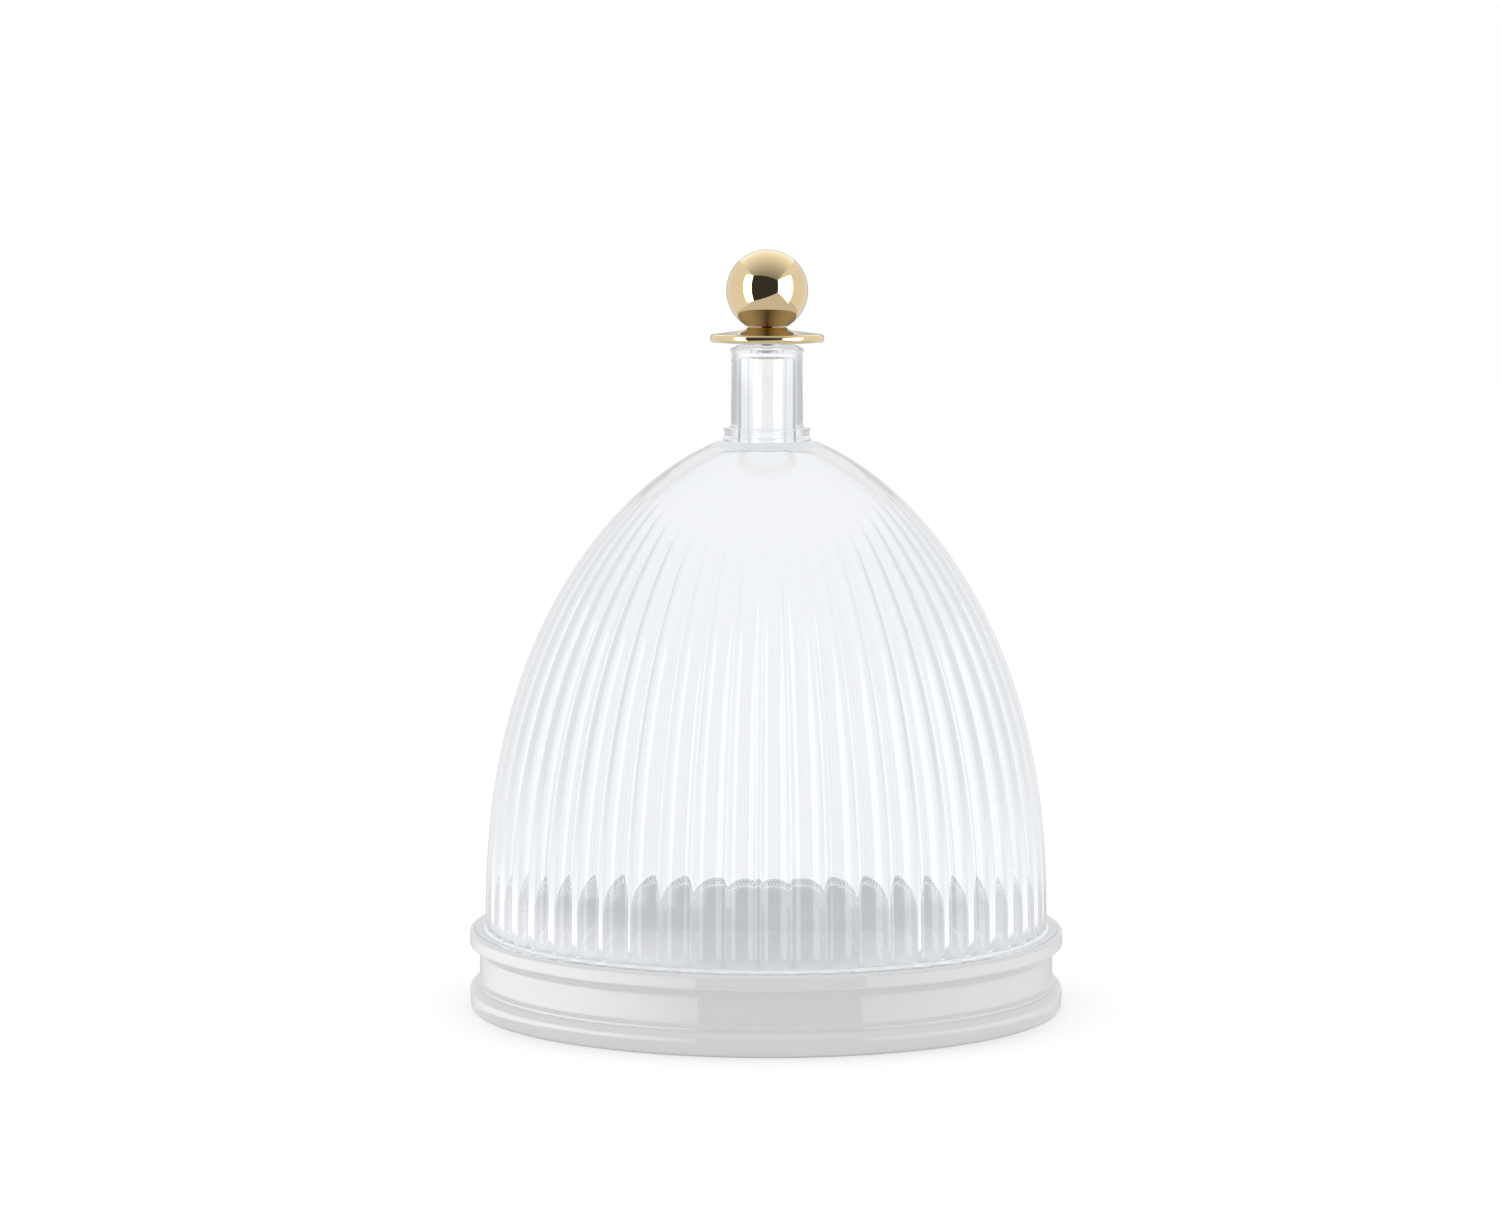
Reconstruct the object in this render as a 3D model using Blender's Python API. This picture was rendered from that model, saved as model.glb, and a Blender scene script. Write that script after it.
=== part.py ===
"""Serving cloche: a clear fluted dome with a column handle and ball knob, over a white tray base.

Metres, +Z up. The base stands on z = 0, every piece is turned about the Z axis, and -Y is the front.
Each piece is drawn from its own seat at z = 0 and then placed on what carries it.
"""
import math

import bmesh
import bpy
import mathutils

# Room left between two pieces that touch on the real object
GAP = 0.0003

# Dome: the wall's outer radius at its foot, the rise from the flange's underside to the crown
DOME_RADIUS = 0.1041
DOME_RISE = 0.1811
DOME_WALL = 0.0044
# The outline is an ellipse whose two exponents are a little off 2, which makes it taper like an egg
OUTLINE_UP = 2.26
OUTLINE_OUT = 1.677
# Flat margin of the crown round the handle's foot ring
CROWN_MARGIN = 0.0023
FLANGE_WIDTH = 0.0039
FLANGE_THICKNESS = 0.0016
FLANGE_FILLET = 0.0025
FLANGE_CHAMFER = 0.0003

# Flutes: hollow channels down the inside of the wall with sharp ridges between them. They start over a plain
# band at the foot and are gone on the crown. The outside is smooth.
FLUTE_COUNT = 52
FLUTE_DEPTH = 0.0018
FLUTE_FOOT = 0.0040
FLUTE_RUNOUT = 0.0025
FLUTE_FULL_RADIUS = 0.065
FLUTE_END_RADIUS = 0.050
# One ridge lies this far to the left of the front
FLUTE_TURN = math.radians(1.6)

# Base: a hollow foot, the tray above its floor, and a rebate for the dome's flange inside its lip
UNDER_RECESS = 0.0050
FLOOR_THICKNESS = 0.0040
TRAY_DEPTH = 0.0187
TRAY_SETBACK = 0.0012
TRAY_FILLET = 0.0030
LIP_WIDTH = 0.0017
LIP_RISE = 0.0012
LIP_ROUND = 0.0011
RIM_BAND = 0.0057
RIM_ROUND = 0.0006
RIM_LAND = 0.0003
RIM_COVE = 0.0028
WAIST_INSET = 0.0036
FOOT_RISE = 0.0107
FOOT_COVE = 0.0012
FOOT_STEP = 0.0009
FOOT_OVOLO = 0.0024
FOOT_ROUND = 0.0012
FOOT_WIDTH = 0.0070

# Handle column: its height over the crown, its drafted shaft, its flange and the spigot under it
COLUMN_HEIGHT = 0.0353
COLUMN_RADIUS = 0.01335
COLUMN_DRAFT = 0.00015
SHAFT_RING = 0.00030
SHAFT_RING_HEIGHT = 0.0010
FLANGE_HEIGHT = 0.0048
FOOT_RING_HEIGHT = 0.0016
FOOT_RING_STEP = 0.0006
TOP_RING_STEP = 0.0002
TOP_RING_HEIGHT = 0.0006
SEAT_WIDTH = 0.0044
SPIGOT_RADIUS = 0.0120
SPIGOT_TAPER = 0.0012
SPIGOT_WALL = 0.0027
HEAD_BEAD = 0.0005
HEAD_BEAD_HEIGHT = 0.0010
HEAD_CHAMFER = 0.0015
HEAD_SEAT_RADIUS = 0.0105
HEAD_WEB = 0.0012
BORE_FILLET = 0.0010

# Plug in the bore, flush with the crown inside
PLUG_THICKNESS = 0.0030
PLUG_BEVEL = 0.0010

# Stud through collar and ball, and the insert in the column's head that it screws into
STUD_RADIUS = 0.0020
INSERT_WALL = 0.0014
INSERT_LENGTH = 0.0024

# Collar: a thin disc with a round edge, dished below, with a conical hub above
COLLAR_RADIUS = 0.0210
COLLAR_EDGE = 0.0012
COLLAR_DISH = 0.0009
COLLAR_SLOPE = 0.0017
HUB_RADIUS = 0.0089
HUB_TOP_RADIUS = 0.0070
HUB_HEIGHT = 0.0012

# Ball knob with a flat under it
BALL_RADIUS = 0.01505
BALL_FLAT_RADIUS = 0.0074
BALL_SOCKET = 0.0080

# Facets round each piece
BASE_STEPS = 72
COLUMN_STEPS = 36
BALL_STEPS = 32
SMALL_STEPS = 20

# Rows of facets up the dome's wall, outside and inside
WALL_ROWS = 12
INNER_ROWS = 12
# An edge that turns more than this stays sharp in the shading
SHARP_ANGLE = math.radians(35)


def arc(centre_r, centre_z, width, height, start, end, steps):
    """Points of an elliptical arc in the profile plane, from start to end in degrees."""
    points = []
    for step in range(steps + 1):
        angle = math.radians(start + (end - start) * step / steps)
        points.append((centre_r + width * math.cos(angle), centre_z + height * math.sin(angle)))
    return points


def turned(name, outline, steps, parent, height):
    """A solid of revolution. The outline is a closed loop, or runs from axis to axis."""
    mesh = bmesh.new()
    depths = mesh.verts.layers.float.new("flute_depth")
    verts = []
    for point in outline:
        vert = mesh.verts.new((point[0], 0.0, point[1]))
        if len(point) > 2:
            vert[depths] = point[2]
        verts.append(vert)
    for start, end in zip(verts, verts[1:]):
        mesh.edges.new((start, end))
    if outline[0][0] > 0.0:
        mesh.edges.new((verts[-1], verts[0]))
    bmesh.ops.spin(mesh, geom=mesh.verts[:] + mesh.edges[:], axis=(0, 0, 1), cent=(0, 0, 0),
                   angle=2 * math.pi, steps=steps, use_merge=True)
    bmesh.ops.remove_doubles(mesh, verts=mesh.verts[:], dist=1e-7)
    for vert in mesh.verts:
        if vert[depths] > 0.0:
            cut_flute(vert, vert[depths], steps)
    bmesh.ops.recalc_face_normals(mesh, faces=mesh.faces[:])
    data = bpy.data.meshes.new(name)
    mesh.to_mesh(data)
    mesh.free()
    data.shade_smooth()
    data.set_sharp_from_angle(angle=SHARP_ANGLE)
    piece = bpy.data.objects.new(name, data)
    bpy.context.collection.objects.link(piece)
    piece.parent = parent
    piece.location = (0.0, 0.0, height)
    return piece


def cut_flute(vert, depth, steps):
    """Moves a vertex out where the middle of a flute runs, on every second step round."""
    turn = math.atan2(vert.co.y, vert.co.x) / (2 * math.pi)
    if round(turn * steps) % 2 == 1:
        radius = math.hypot(vert.co.x, vert.co.y)
        vert.co.x *= (radius + depth) / radius
        vert.co.y *= (radius + depth) / radius


def finish(piece, colour, roughness, metallic, transmission):
    """Gives a piece its own material. The colour is an sRGB hex value."""
    material = bpy.data.materials.new(piece.name)
    material.use_nodes = True
    shader = material.node_tree.nodes["Principled BSDF"]
    channels = [value / 255 for value in bytes.fromhex(colour)]
    linear = mathutils.Color(channels).from_srgb_to_scene_linear()
    shader.inputs["Base Color"].default_value = (*linear, 1.0)
    shader.inputs["Roughness"].default_value = roughness
    shader.inputs["Metallic"].default_value = metallic
    shader.inputs["Transmission Weight"].default_value = transmission
    piece.data.materials.append(material)


for old in list(bpy.data.objects):
    bpy.data.objects.remove(old, do_unlink=True)

CLEAR = "F7F9FC"
WHITE = "EAEAEB"
GOLD = "E4CDA2"
NICKEL = "CBC8C3"
STEEL = "B3B3B5"

# Radii and heights that follow from the driving sizes
dome_inner_radius = DOME_RADIUS - DOME_WALL
flange_radius = DOME_RADIUS + FLANGE_WIDTH
base_radius = flange_radius + GAP + LIP_WIDTH
waist_radius = base_radius - WAIST_INSET
tray_radius = dome_inner_radius + TRAY_SETBACK
foot_inner_radius = base_radius - FOOT_WIDTH
floor_top = UNDER_RECESS + FLOOR_THICKNESS
ledge = floor_top + TRAY_DEPTH
rim_top = ledge + LIP_RISE
rim_bottom = rim_top - RIM_BAND
foot_ring_radius = SPIGOT_RADIUS + SEAT_WIDTH
crown_radius = foot_ring_radius + CROWN_MARGIN
inner_crown_radius = crown_radius - DOME_WALL / 2
spigot_end_radius = SPIGOT_RADIUS - SPIGOT_TAPER
spigot_length = DOME_WALL + GAP
bore_radius = spigot_end_radius - SPIGOT_WALL
shaft_top_radius = COLUMN_RADIUS - COLUMN_DRAFT
insert_radius = STUD_RADIUS + GAP + INSERT_WALL
pocket_floor = COLUMN_HEIGHT - INSERT_LENGTH - GAP
bore_top = pocket_floor - HEAD_WEB
stud_hole_radius = STUD_RADIUS + GAP
edge_height = COLLAR_DISH + COLLAR_EDGE
hub_foot = COLLAR_DISH + 2 * COLLAR_EDGE + COLLAR_SLOPE
collar_height = hub_foot + HUB_HEIGHT

# White moulded base. The outline starts on the axis under the floor and goes out and up.
base_outline = [(0.0, UNDER_RECESS), (foot_inner_radius, UNDER_RECESS), (foot_inner_radius, 0.0)]
base_outline += arc(base_radius - FOOT_ROUND, FOOT_ROUND, FOOT_ROUND, FOOT_ROUND, -90, 0, 2)
ovolo_top = FOOT_RISE - FOOT_COVE - FOOT_STEP
base_outline += arc(waist_radius + FOOT_COVE, ovolo_top - FOOT_OVOLO, WAIST_INSET - FOOT_COVE, FOOT_OVOLO,
                    0, 90, 4)
base_outline += arc(waist_radius + FOOT_COVE, FOOT_RISE, FOOT_COVE, FOOT_COVE, -90, -180, 3)
cove_width = WAIST_INSET - RIM_ROUND - RIM_LAND
base_outline += arc(waist_radius + cove_width, rim_bottom - RIM_COVE, cove_width, RIM_COVE, 180, 90, 4)
base_outline += arc(base_radius - RIM_ROUND, rim_bottom + RIM_ROUND, RIM_ROUND, RIM_ROUND, -90, 0, 2)
base_outline += arc(base_radius - LIP_ROUND, rim_top - LIP_ROUND, LIP_ROUND, LIP_ROUND, 0, 90, 3)
base_outline += [(flange_radius + GAP, rim_top), (flange_radius + GAP, ledge), (tray_radius, ledge)]
base_outline += arc(tray_radius - TRAY_FILLET, floor_top + TRAY_FILLET, TRAY_FILLET, TRAY_FILLET, 0, -90, 3)
base_outline += [(0.0, floor_top)]
base_tray = turned("base_tray", base_outline, BASE_STEPS, None, 0.0)
finish(base_tray, WHITE, 0.12, 0.0, 0.0)

# Everything that lifts off together hangs from one empty, at the flange's seat on the axis
lid = bpy.data.objects.new("lid", None)
lid.location = (0.0, 0.0, ledge + GAP)
bpy.context.collection.objects.link(lid)

# Clear dome. Its wall rises from the fillet over the flange as part of a stretched ellipse.
fillet = min(FLANGE_FILLET, FLANGE_WIDTH - 2 * FLANGE_CHAMFER)
wall_foot = FLANGE_THICKNESS + fillet
crown_share = (1 - (crown_radius / DOME_RADIUS) ** OUTLINE_OUT) ** (1 / OUTLINE_UP)
outline_height = (DOME_RISE - wall_foot) / crown_share
crown_angle = math.asin(crown_share ** (OUTLINE_UP / 2))


def wall_point(angle):
    """A point of the dome's outer outline, from 0 at the foot of the wall to crown_angle."""
    radius = DOME_RADIUS * math.cos(angle) ** (2 / OUTLINE_OUT)
    return radius, wall_foot + outline_height * math.sin(angle) ** (2 / OUTLINE_UP)


def inner_wall_point(angle):
    """The same point moved square to the outline, inwards by the wall's thickness."""
    nudge = math.radians(0.5)
    low = wall_point(angle - nudge)
    high = wall_point(angle + nudge)
    along_r = high[0] - low[0]
    along_z = high[1] - low[1]
    length = math.hypot(along_r, along_z)
    radius, height = wall_point(angle)
    return radius - DOME_WALL * along_z / length, height + DOME_WALL * along_r / length


def flute_depth(angle):
    """Depth of the flutes behind this point of the outline."""
    share = (wall_point(angle)[0] - FLUTE_END_RADIUS) / (FLUTE_FULL_RADIUS - FLUTE_END_RADIUS)
    return FLUTE_DEPTH * min(max(share, 0.0), 1.0)


dome_outline = [(SPIGOT_RADIUS + GAP, DOME_RISE)]
for row in range(WALL_ROWS, 0, -1):
    dome_outline.append(wall_point(crown_angle * row / WALL_ROWS))
dome_outline += arc(DOME_RADIUS + fillet, wall_foot, fillet, fillet, 180, 270, 3)
dome_outline.append((flange_radius - FLANGE_CHAMFER, FLANGE_THICKNESS))
dome_outline.append((flange_radius, FLANGE_THICKNESS - FLANGE_CHAMFER))
dome_outline.append((flange_radius, FLANGE_CHAMFER))
dome_outline.append((flange_radius - FLANGE_CHAMFER, 0.0))
dome_outline.append((dome_inner_radius, 0.0))
dome_outline.append((dome_inner_radius, FLUTE_FOOT))
dome_outline.append((dome_inner_radius, FLUTE_FOOT + FLUTE_RUNOUT, FLUTE_DEPTH))
for row in range(1, INNER_ROWS):
    angle = crown_angle * row / INNER_ROWS
    dome_outline.append((*inner_wall_point(angle), flute_depth(angle)))
dome_outline.append((inner_crown_radius, DOME_RISE - DOME_WALL))
dome_outline.append((spigot_end_radius + GAP, DOME_RISE - DOME_WALL))
dome = turned("dome", dome_outline, 2 * FLUTE_COUNT, lid, 0.0)
dome.rotation_euler = (0.0, 0.0, -math.pi / 2 - FLUTE_TURN)
finish(dome, CLEAR, 0.02, 0.0, 1.0)

# Clear handle column, moulded hollow from below, with its spigot through the crown's hole
column_seat = DOME_RISE + GAP
flange_step = foot_ring_radius - FOOT_RING_STEP
column_outline = [(bore_radius, -spigot_length), (spigot_end_radius, -spigot_length), (SPIGOT_RADIUS, 0.0)]
column_outline += [(foot_ring_radius, 0.0), (foot_ring_radius, FOOT_RING_HEIGHT)]
column_outline += [(flange_step, FOOT_RING_HEIGHT), (flange_step, FLANGE_HEIGHT - TOP_RING_HEIGHT)]
column_outline += [(foot_ring_radius - TOP_RING_STEP, FLANGE_HEIGHT - TOP_RING_HEIGHT)]
column_outline += [(foot_ring_radius - TOP_RING_STEP, FLANGE_HEIGHT)]
column_outline += [(COLUMN_RADIUS + SHAFT_RING, FLANGE_HEIGHT)]
column_outline += [(COLUMN_RADIUS + SHAFT_RING, FLANGE_HEIGHT + SHAFT_RING_HEIGHT)]
column_outline += [(COLUMN_RADIUS, FLANGE_HEIGHT + SHAFT_RING_HEIGHT)]
bead_bottom = COLUMN_HEIGHT - HEAD_CHAMFER - HEAD_BEAD_HEIGHT
column_outline += [(shaft_top_radius, bead_bottom), (shaft_top_radius + HEAD_BEAD, bead_bottom)]
column_outline += [(shaft_top_radius + HEAD_BEAD, COLUMN_HEIGHT - HEAD_CHAMFER)]
column_outline += [(HEAD_SEAT_RADIUS, COLUMN_HEIGHT), (insert_radius + GAP, COLUMN_HEIGHT)]
column_outline += [(insert_radius + GAP, pocket_floor), (0.0, pocket_floor)]
column_outline = column_outline[::-1] + [(bore_radius, bore_top - BORE_FILLET)]
column_outline += arc(bore_radius - BORE_FILLET, bore_top - BORE_FILLET, BORE_FILLET, BORE_FILLET, 0, 90, 3)[1:]
column_outline += [(0.0, bore_top)]
handle_column = turned("handle_column", column_outline, COLUMN_STEPS, lid, column_seat)
finish(handle_column, CLEAR, 0.02, 0.0, 1.0)

# Clear plug that closes the bore, flush with the end of the spigot
plug_radius = bore_radius - GAP
plug_outline = [(0.0, 0.0), (plug_radius - PLUG_BEVEL, 0.0), (plug_radius, PLUG_BEVEL)]
plug_outline += [(plug_radius, PLUG_THICKNESS), (0.0, PLUG_THICKNESS)]
bore_plug = turned("bore_plug", plug_outline, COLUMN_STEPS, lid, column_seat - spigot_length)
finish(bore_plug, CLEAR, 0.02, 0.0, 1.0)

# Nickel plated insert in the column's head
insert_outline = [(stud_hole_radius, 0.0), (insert_radius, 0.0)]
insert_outline += [(insert_radius, INSERT_LENGTH), (stud_hole_radius, INSERT_LENGTH)]
thread_insert = turned("thread_insert", insert_outline, SMALL_STEPS, lid,
                       column_seat + COLUMN_HEIGHT - INSERT_LENGTH)
finish(thread_insert, NICKEL, 0.25, 1.0, 0.0)

# Gold collar disc on the column's head
collar_seat = column_seat + COLUMN_HEIGHT + GAP
collar_outline = [(stud_hole_radius, 0.0), (HEAD_SEAT_RADIUS, 0.0)]
collar_outline += arc(COLLAR_RADIUS - COLLAR_EDGE, edge_height, COLLAR_EDGE, COLLAR_EDGE, -90, 90, 6)
collar_outline += [(HUB_RADIUS, hub_foot), (HUB_TOP_RADIUS, collar_height), (stud_hole_radius, collar_height)]
collar_disc = turned("collar_disc", collar_outline, COLUMN_STEPS, lid, collar_seat)
finish(collar_disc, GOLD, 0.06, 1.0, 0.0)

# Gold ball knob on the collar's hub
ball_seat = collar_seat + collar_height + GAP
ball_centre = math.sqrt(BALL_RADIUS ** 2 - BALL_FLAT_RADIUS ** 2)
flat_angle = -math.degrees(math.acos(BALL_FLAT_RADIUS / BALL_RADIUS))
ball_outline = [(0.0, BALL_SOCKET), (stud_hole_radius, BALL_SOCKET), (stud_hole_radius, 0.0)]
ball_outline += arc(0.0, ball_centre, BALL_RADIUS, BALL_RADIUS, flat_angle, 90, 12)[:-1]
ball_outline += [(0.0, ball_centre + BALL_RADIUS)]
ball_knob = turned("ball_knob", ball_outline, BALL_STEPS, lid, ball_seat)
finish(ball_knob, GOLD, 0.06, 1.0, 0.0)

# Steel stud from the insert, through the collar, into the ball
stud_bottom = column_seat + COLUMN_HEIGHT - INSERT_LENGTH
stud_top = ball_seat + BALL_SOCKET - GAP
stud_outline = [(0.0, 0.0), (STUD_RADIUS, 0.0), (STUD_RADIUS, stud_top - stud_bottom)]
stud_outline += [(0.0, stud_top - stud_bottom)]
knob_stud = turned("knob_stud", stud_outline, SMALL_STEPS, lid, stud_bottom)
finish(knob_stud, STEEL, 0.30, 1.0, 0.0)
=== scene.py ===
"""Serving cloche: a clear fluted dome with a column handle and a gold ball knob, over a white tray base.

Metres, +Z up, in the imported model's own frame. Every piece is turned about the Z axis, and -Y is the front.
"""
import math

import bmesh
import bpy
import mathutils
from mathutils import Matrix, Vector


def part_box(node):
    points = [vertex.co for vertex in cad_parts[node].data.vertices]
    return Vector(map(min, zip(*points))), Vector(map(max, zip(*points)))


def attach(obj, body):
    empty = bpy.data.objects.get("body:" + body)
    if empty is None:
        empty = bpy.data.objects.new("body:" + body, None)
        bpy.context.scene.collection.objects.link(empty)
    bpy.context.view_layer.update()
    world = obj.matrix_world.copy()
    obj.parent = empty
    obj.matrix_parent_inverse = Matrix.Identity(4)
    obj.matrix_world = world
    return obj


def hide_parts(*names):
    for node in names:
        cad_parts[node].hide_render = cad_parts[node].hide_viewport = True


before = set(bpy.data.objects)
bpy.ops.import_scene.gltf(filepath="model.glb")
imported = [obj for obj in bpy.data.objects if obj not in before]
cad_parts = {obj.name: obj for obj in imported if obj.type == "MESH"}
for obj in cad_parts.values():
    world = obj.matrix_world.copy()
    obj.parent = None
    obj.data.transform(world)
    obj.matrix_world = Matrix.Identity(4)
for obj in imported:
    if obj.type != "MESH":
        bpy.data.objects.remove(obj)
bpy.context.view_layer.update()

# Base tray. The real one is injection moulded from white ABS in a polished mould: a hollow foot with a
# stepped ogee edge, a waist, a rounded rim, and inside the rim a ledge that takes the dome's flange.
BASE_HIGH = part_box("base_tray")[1]
BASE_RADIUS = BASE_HIGH.x
BASE_HEIGHT = BASE_HIGH.z
UNDER_RECESS = 0.0050
TRAY_FLOOR = 0.0090
TRAY_RADIUS = 0.1009
TRAY_FILLET = 0.0030
LEDGE_HEIGHT = 0.0277
LEDGE_RADIUS = 0.1083
LIP_ROUND = 0.0011
LIP_INNER_ROUND = 0.0003
RIM_BAND = 0.0057
RIM_ROUND = 0.0006
RIM_LAND = 0.0003
RIM_COVE = 0.0028
WAIST_INSET = 0.0036
FOOT_RISE = 0.0107
FOOT_COVE = 0.0012
FOOT_STEP = 0.0009
FOOT_OVOLO = 0.0024
FOOT_ROUND = 0.0012
FOOT_WIDTH = 0.0070
FOOT_DRAFT = 0.0003
# Rings this far inside the ends of a flat face keep its mirror image flat
FLAT_END = 0.0002
BASE_STEPS = 256
SHARP_ANGLE = math.radians(32)
# A point nearer to the axis than this is on it
ON_AXIS = 1e-6
ABS_TONES = ("E9EAEC", "EDEDEE")
ABS_ROUGHNESS = (0.006, 0.012)
ABS_IOR = 1.53
FLOW_SIZE = 0.030
HAZE_SIZE = 0.006
RIPPLE_SIZE = 0.009
RIPPLE_HEIGHT = 0.00003
RIPPLE_STRENGTH = 0.25


def arc(centre_r, centre_z, width, height, start, end, steps):
    """Points of an elliptical arc in the profile plane, from start to end in degrees."""
    points = []
    for step in range(steps + 1):
        angle = math.radians(start + (end - start) * step / steps)
        points.append((centre_r + width * math.cos(angle), centre_z + height * math.sin(angle)))
    return points


def even_turns(steps):
    """Equal angles once round, from the front."""
    return [2 * math.pi * step / steps - math.pi / 2 for step in range(steps)]


def turned(name, outline, turns, body, node, swell=None):
    """A solid of revolution that stands for a CAD node and rides on its body. The outline is closed, or runs
    from axis to axis. swell gives what a point's radius gains at an angle."""
    mesh = bmesh.new()
    rings = []
    for point in outline:
        radius, height = point[:2]
        if radius < ON_AXIS:
            rings.append([mesh.verts.new((0.0, 0.0, height))] * len(turns))
            continue
        ring = []
        for angle in turns:
            reach = radius + (swell(point, angle) if swell else 0.0)
            ring.append(mesh.verts.new((reach * math.cos(angle), reach * math.sin(angle), height)))
        rings.append(ring)
    pairs = list(zip(rings, rings[1:]))
    if outline[0][0] > ON_AXIS:
        pairs.append((rings[-1], rings[0]))
    for low, high in pairs:
        for step in range(len(turns)):
            ahead = (step + 1) % len(turns)
            corners = dict.fromkeys((low[step], low[ahead], high[ahead], high[step]))
            if len(corners) > 2:
                mesh.faces.new(list(corners))
    bmesh.ops.recalc_face_normals(mesh, faces=mesh.faces[:])
    data = bpy.data.meshes.new(name)
    mesh.to_mesh(data)
    mesh.free()
    data.shade_smooth()
    data.set_sharp_from_angle(angle=SHARP_ANGLE)
    piece = bpy.data.objects.new(name, data)
    bpy.context.scene.collection.objects.link(piece)
    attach(piece, body)
    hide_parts(node)
    return piece


def linear(colour):
    """An sRGB hex colour as linear RGBA."""
    channels = [value / 255 for value in bytes.fromhex(colour)]
    return (*mathutils.Color(channels).from_srgb_to_scene_linear(), 1.0)


def add_node(tree, kind, settings, inputs):
    """Adds a shader node with its settings. Inputs go by name or number, each a value or another socket."""
    new = tree.nodes.new("ShaderNode" + kind)
    for setting, value in settings.items():
        setattr(new, setting, value)
    for socket, value in inputs.items():
        if isinstance(value, bpy.types.NodeSocket):
            tree.links.new(value, new.inputs[socket])
        else:
            new.inputs[socket].default_value = value
    return new


def start_material(name):
    """An empty node material with its output node."""
    material = bpy.data.materials.new(name)
    material.use_nodes = True
    tree = material.node_tree
    tree.nodes.clear()
    return material, tree, tree.nodes.new("ShaderNodeOutputMaterial")


def moulded_white_abs():
    """Glossy white ABS. The eye gets a near white body, a sharp plastic gloss, and the faint ripple and flow
    marks that a polished mould leaves."""
    material, tree, output = start_material("moulded_white_abs")
    place = add_node(tree, "TexCoord", {}, {}).outputs["Object"]
    flow = add_node(tree, "TexNoise", {}, {"Vector": place, "Scale": 1 / FLOW_SIZE, "Detail": 2.0})
    tone = add_node(tree, "Mix", {"data_type": "RGBA"},
                    {0: flow.outputs["Fac"], 6: linear(ABS_TONES[0]), 7: linear(ABS_TONES[1])})
    haze = add_node(tree, "TexNoise", {}, {"Vector": place, "Scale": 1 / HAZE_SIZE, "Detail": 3.0})
    gloss = add_node(tree, "MapRange", {},
                     {"Value": haze.outputs["Fac"], "To Min": ABS_ROUGHNESS[0], "To Max": ABS_ROUGHNESS[1]})
    ripple = add_node(tree, "TexNoise", {}, {"Vector": place, "Scale": 1 / RIPPLE_SIZE, "Detail": 1.0})
    bump = add_node(tree, "Bump", {},
                    {"Strength": RIPPLE_STRENGTH, "Distance": RIPPLE_HEIGHT, "Height": ripple.outputs["Fac"]})
    shader = add_node(tree, "BsdfPrincipled", {},
                      {"Base Color": tone.outputs[2], "Roughness": gloss.outputs["Result"], "IOR": ABS_IOR,
                       "Normal": bump.outputs["Normal"]})
    tree.links.new(shader.outputs[0], output.inputs[0])
    return material


waist_radius = BASE_RADIUS - WAIST_INSET
foot_inner_radius = BASE_RADIUS - FOOT_WIDTH
rim_bottom = BASE_HEIGHT - RIM_BAND
base_outline = [(0.0, UNDER_RECESS), (foot_inner_radius, UNDER_RECESS), (foot_inner_radius, 0.0)]
base_outline += arc(BASE_RADIUS - FOOT_DRAFT - FOOT_ROUND, FOOT_ROUND, FOOT_ROUND, FOOT_ROUND, -90, 0, 6)
ovolo_top = FOOT_RISE - FOOT_COVE - FOOT_STEP
base_outline += arc(waist_radius + FOOT_COVE, ovolo_top - FOOT_OVOLO, WAIST_INSET - FOOT_COVE, FOOT_OVOLO,
                    0, 90, 8)
base_outline += arc(waist_radius + FOOT_COVE, FOOT_RISE, FOOT_COVE, FOOT_COVE, -90, -180, 6)
base_outline += [(waist_radius, FOOT_RISE + FLAT_END), (waist_radius, rim_bottom - RIM_COVE - FLAT_END)]
cove_width = WAIST_INSET - RIM_ROUND - RIM_LAND
base_outline += arc(waist_radius + cove_width, rim_bottom - RIM_COVE, cove_width, RIM_COVE, 180, 90, 8)
base_outline += arc(BASE_RADIUS - RIM_ROUND, rim_bottom + RIM_ROUND, RIM_ROUND, RIM_ROUND, -90, 0, 5)
base_outline += [(BASE_RADIUS, rim_bottom + RIM_ROUND + FLAT_END)]
base_outline += [(BASE_RADIUS, BASE_HEIGHT - LIP_ROUND - FLAT_END)]
base_outline += arc(BASE_RADIUS - LIP_ROUND, BASE_HEIGHT - LIP_ROUND, LIP_ROUND, LIP_ROUND, 0, 90, 6)
base_outline += arc(LEDGE_RADIUS + LIP_INNER_ROUND, BASE_HEIGHT - LIP_INNER_ROUND, LIP_INNER_ROUND,
                    LIP_INNER_ROUND, 90, 180, 3)
base_outline += [(LEDGE_RADIUS, LEDGE_HEIGHT)]
base_outline += arc(TRAY_RADIUS + LIP_INNER_ROUND, LEDGE_HEIGHT - LIP_INNER_ROUND, LIP_INNER_ROUND,
                    LIP_INNER_ROUND, 90, 180, 3)
base_outline += arc(TRAY_RADIUS - TRAY_FILLET, TRAY_FLOOR + TRAY_FILLET, TRAY_FILLET, TRAY_FILLET, 0, -90, 6)
base_outline += [(0.0, TRAY_FLOOR)]
tray = turned("tray_shell", base_outline, even_turns(BASE_STEPS), "base", "base_tray")
tray.data.materials.append(moulded_white_abs())

# Dome. The real one is moulded in one piece from clear acrylic. Its outside is smooth, and a fluted core
# leaves 52 hollow channels down the inside with narrow ridges between them, which end short of the crown and
# the foot.
DOME_LOW, DOME_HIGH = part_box("dome")
DOME_SEAT = DOME_LOW.z
DOME_RISE = DOME_HIGH.z - DOME_SEAT
DOME_RADIUS = 0.1041
DOME_WALL = 0.0044
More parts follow.
